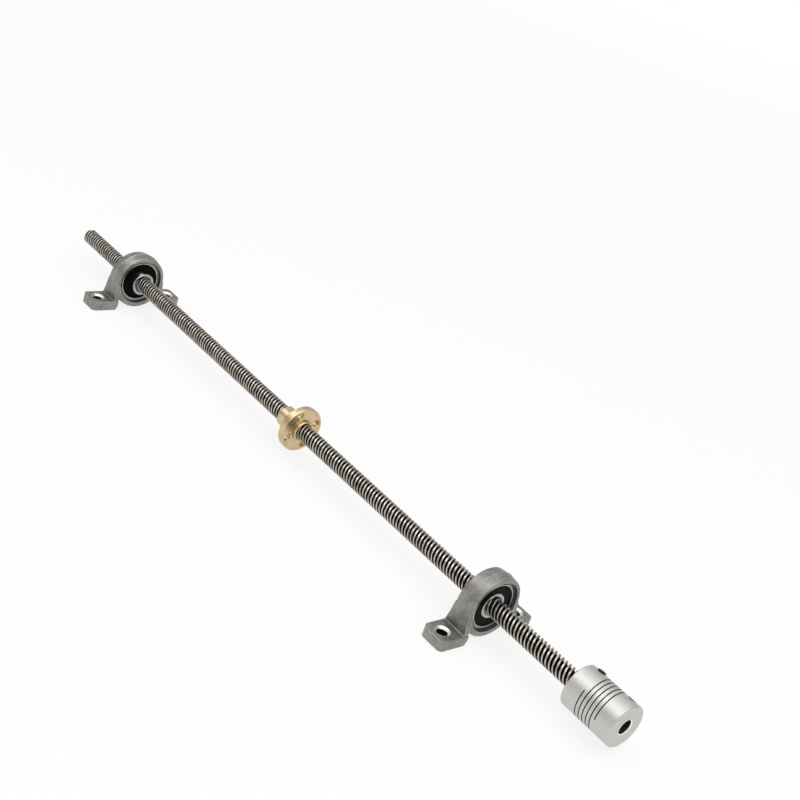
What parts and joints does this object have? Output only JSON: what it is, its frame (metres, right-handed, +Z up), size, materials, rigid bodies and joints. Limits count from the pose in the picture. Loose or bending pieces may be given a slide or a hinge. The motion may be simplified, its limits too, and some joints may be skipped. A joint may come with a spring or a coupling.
{
  "type": "trapezoidal lead screw set",
  "caption": "Trapezoidal lead screw in two pillow block bearings, with a flanged brass nut and a flexible shaft coupling, for linear drives.",
  "frame": {"origin": "on the base plane under the middle of the whole set's length", "axes": "+X along the screw towards the coupling, +Z up from the feet, screw's centre line 15 mm above the base"},
  "size_m": [0.4174, 0.053, 0.0292],
  "materials": {
    "screw_steel": "rolled steel, satin",
    "nut_brass": "turned brass",
    "housing_zinc": "die-cast zinc, tumbled satin",
    "bearing_steel": "ground steel",
    "ball_steel": "polished steel",
    "cage_brass": "drilled brass",
    "seal_rubber": "moulded rubber",
    "coupling_aluminium": "turned aluminium, satin",
    "plain_steel": "plain steel",
    "black_steel": "black oxide"
  },
  "bodies": {
    "blocks": {"end_housing": "housing_zinc", "end_outer_ring": "bearing_steel", "end_front_seal": "seal_rubber", "end_back_seal": "seal_rubber", "drive_housing": "housing_zinc", "drive_outer_ring": "bearing_steel", "drive_front_seal": "seal_rubber", "drive_back_seal": "seal_rubber"},
    "screw": {"lead_screw": "screw_steel", "end_inner_ring": "bearing_steel", "end_ring_screws": "plain_steel", "drive_inner_ring": "bearing_steel", "drive_ring_screws": "plain_steel", "coupling_body": "coupling_aluminium", "coupling_screw_side_screws": "black_steel", "coupling_motor_side_screws": "black_steel"},
    "nut": {"lead_nut": "nut_brass"},
    "end_ball_set": {"end_cage": "cage_brass", "end_balls": "ball_steel"},
    "drive_ball_set": {"drive_cage": "cage_brass", "drive_balls": "ball_steel"}
  },
  "joints": [
    {"name": "screw_spin", "type": "hinge", "parent": "blocks", "child": "screw", "pos_m": [0, 0, 0.015], "axis": [1, 0, 0], "range_deg": [-5400, 5850]},
    {"name": "nut_travel", "type": "slide", "parent": "blocks", "child": "nut", "axis": [1, 0, 0], "range_m": [-0.1301, 0.1201]},
    {"name": "end_cage_spin", "type": "hinge", "parent": "blocks", "child": "end_ball_set", "pos_m": [-0.15625, 0, 0.015], "axis": [1, 0, 0], "range_deg": [-2012, 2179]},
    {"name": "drive_cage_spin", "type": "hinge", "parent": "blocks", "child": "drive_ball_set", "pos_m": [0.13075, 0, 0.015], "axis": [1, 0, 0], "range_deg": [-2012, 2179]}
  ],
  "couplings": [
    {"joint": "nut_travel", "follows": "screw_spin", "m_per_rad": -0.0012732},
    {"joint": "end_cage_spin", "follows": "screw_spin", "ratio": 0.37226},
    {"joint": "drive_cage_spin", "follows": "screw_spin", "ratio": 0.37226}
  ]
}
